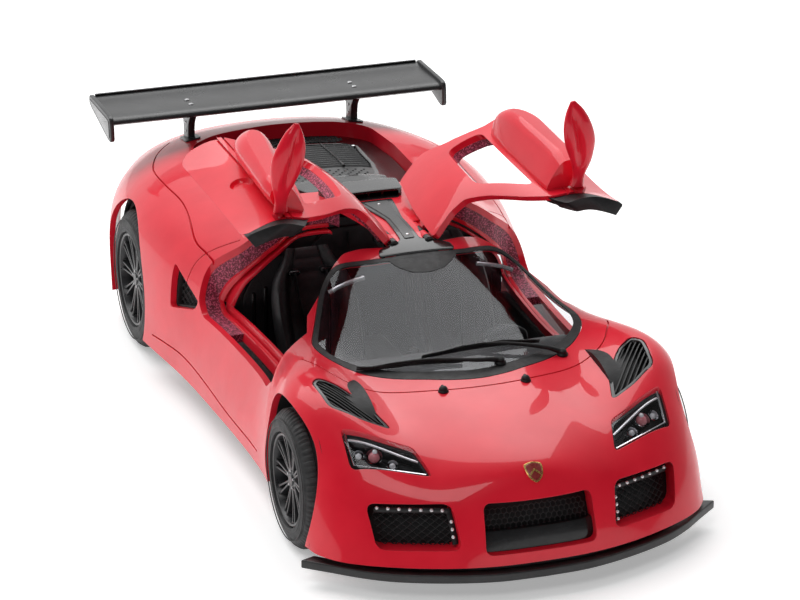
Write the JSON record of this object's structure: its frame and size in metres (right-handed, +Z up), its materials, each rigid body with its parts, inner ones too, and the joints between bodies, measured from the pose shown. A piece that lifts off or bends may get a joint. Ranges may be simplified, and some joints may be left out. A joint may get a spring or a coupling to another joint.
{
  "type": "diecast model car",
  "caption": "Small diecast sports car with open gull-wing doors, turning wheels, a rear wing and a detailed cabin.",
  "frame": {"origin": "middle of the footprint at ground level, where the tyres stand", "axes": "+X towards the car's left side, -Y towards its nose, +Z up"},
  "size_m": [0.085, 0.185, 0.0759],
  "materials": {
    "body_paint": "gloss",
    "black_base": "satin",
    "black_grille": "matte",
    "black_gloss": "gloss",
    "black_trim": "satin",
    "wing_black": "satin",
    "cabin_black": "matte",
    "clear": "clear",
    "gold_badge": "gloss",
    "red_lens": "gloss",
    "chrome": "polished",
    "steel": "brushed",
    "rim_black": "satin",
    "tyre": "matte"
  },
  "bodies": {
    "root": {"body_shell": "body_paint", "chassis_plate": "black_base", "front_splitter": "black_base", "diffuser": "black_base", "centre_grille": "black_grille", "side_grille_left": "black_grille", "side_grille_right": "black_grille", "side_mesh_left": "black_grille", "side_mesh_right": "black_grille", "fender_vent_left": "black_grille", "fender_vent_right": "black_grille", "tail_panel": "black_grille", "engine_cover": "black_gloss", "intake_scoop": "black_gloss", "roof_strip": "black_gloss", "headlight_bowl_left": "black_gloss", "headlight_bowl_right": "black_gloss", "headlight_lens_left": "clear", "headlight_lens_right": "clear", "windscreen": "clear", "wiper_left": "black_trim", "wiper_right": "black_trim", "washer_nozzles": "black_trim", "nose_badge": "gold_badge", "tail_light_left": "red_lens", "tail_light_right": "red_lens", "exhaust_tips": "chrome", "wing_blade": "wing_black", "wing_endplate_left": "wing_black", "wing_endplate_right": "wing_black", "wing_strut_left": "wing_black", "wing_strut_right": "wing_black", "interior_tub": "cabin_black", "rear_bulkhead": "cabin_black", "seat_left": "cabin_black", "seat_right": "cabin_black", "dashboard": "cabin_black", "steering_wheel": "cabin_black", "gear_lever": "cabin_black", "base_screws": "steel", "hinge_bracket": "steel", "door_pins": "steel"},
    "door_left": {"door_skin_left": "body_paint", "door_trim_left": "black_trim", "mirror_left": "body_paint", "hinge_arm_left": "body_paint"},
    "door_right": {"door_skin_right": "body_paint", "door_trim_right": "black_trim", "mirror_right": "body_paint", "hinge_arm_right": "body_paint"},
    "front_axle": {"front_axle_shaft": "steel", "front_rim_left": "rim_black", "front_rim_right": "rim_black", "front_tyre_left": "tyre", "front_tyre_right": "tyre"},
    "rear_axle": {"rear_axle_shaft": "steel", "rear_rim_left": "rim_black", "rear_rim_right": "rim_black", "rear_tyre_left": "tyre", "rear_tyre_right": "tyre"}
  },
  "joints": [
    {"name": "door_left_swing", "type": "hinge", "parent": "root", "child": "door_left", "pos_m": [0.00375, -0.0098, 0.0439], "axis": [0, 1, 0], "range_deg": [0, 48]},
    {"name": "door_right_swing", "type": "hinge", "parent": "root", "child": "door_right", "pos_m": [-0.00375, -0.0098, 0.0439], "axis": [0, -1, 0], "range_deg": [0, 52]},
    {"name": "front_wheels_roll", "type": "hinge", "parent": "root", "child": "front_axle", "pos_m": [0, -0.055, 0.0138], "axis": [1, 0, 0], "continuous": true},
    {"name": "rear_wheels_roll", "type": "hinge", "parent": "root", "child": "rear_axle", "pos_m": [0, 0.0575, 0.0151], "axis": [1, 0, 0], "continuous": true}
  ]
}
